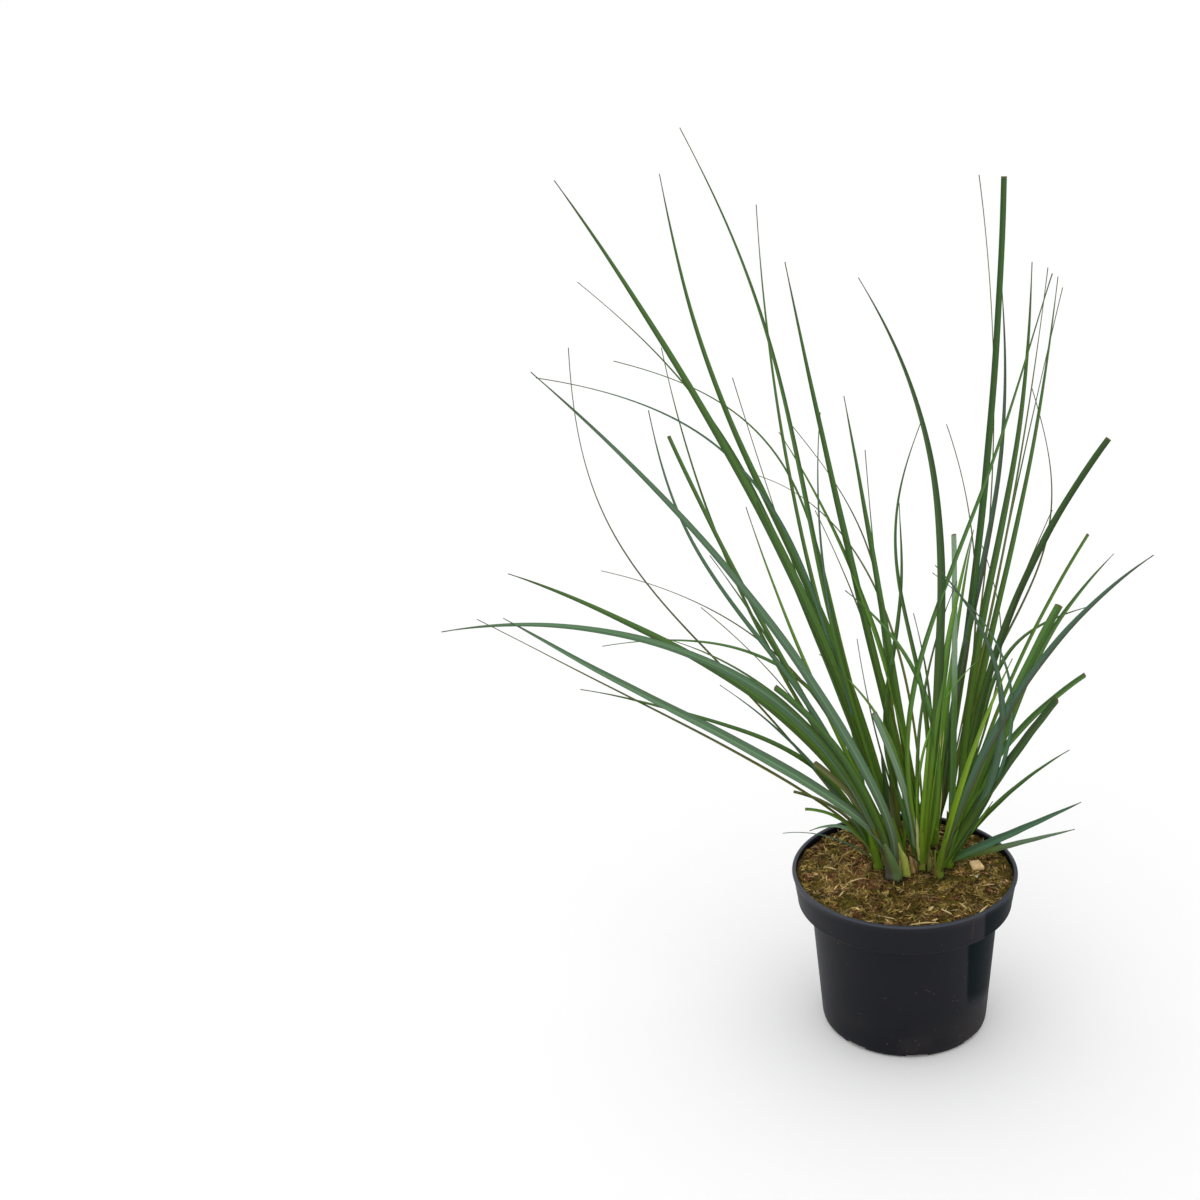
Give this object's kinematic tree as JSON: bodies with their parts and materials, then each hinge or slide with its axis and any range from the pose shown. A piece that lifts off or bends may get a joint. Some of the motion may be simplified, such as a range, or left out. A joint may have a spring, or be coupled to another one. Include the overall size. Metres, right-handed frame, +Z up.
{
  "type": "potted pampas grass plant",
  "caption": "Young clump of pampas grass with long arching blades, rooted in fibrous compost in a round black plastic nursery pot with a deep collar.",
  "frame": {"origin": "centre of the pot's base, on the surface it stands on", "axes": "+Z up along the pot's axis, -Y towards the viewer of the picture, +X to that viewer's right"},
  "size_m": [0.5004, 0.5923, 0.7772],
  "materials": {
    "pot_plastic": "semi-matt moulded black, lightly dusty",
    "compost": "rough loose fibre and moss",
    "chip_wood": "rough split wood",
    "leaf_blue_green": "matt leaf with a light bloom",
    "leaf_green": "satin leaf",
    "sheath_green": "satin leaf sheath",
    "sheath_dry": "dry papery sheath"
  },
  "bodies": {
    "root": {"pot": "pot_plastic", "soil": "compost", "wood_chip": "chip_wood", "shoot_front_left": "leaf_blue_green", "shoot_front_right": "leaf_blue_green", "shoot_front": "leaf_green", "shoot_left": "leaf_green", "shoot_right": "leaf_blue_green", "shoot_middle_left": "leaf_green", "shoot_middle": "leaf_green", "shoot_middle_right": "leaf_green", "shoot_back_left": "leaf_green", "shoot_back": "leaf_green", "shoot_back_right": "leaf_green", "shoot_far_left": "leaf_green", "shoot_far_right": "leaf_green", "cut_sheath_green": "sheath_green", "cut_sheath_dry": "sheath_dry", "cut_sheath_small": "sheath_green"}
  },
  "joints": []
}
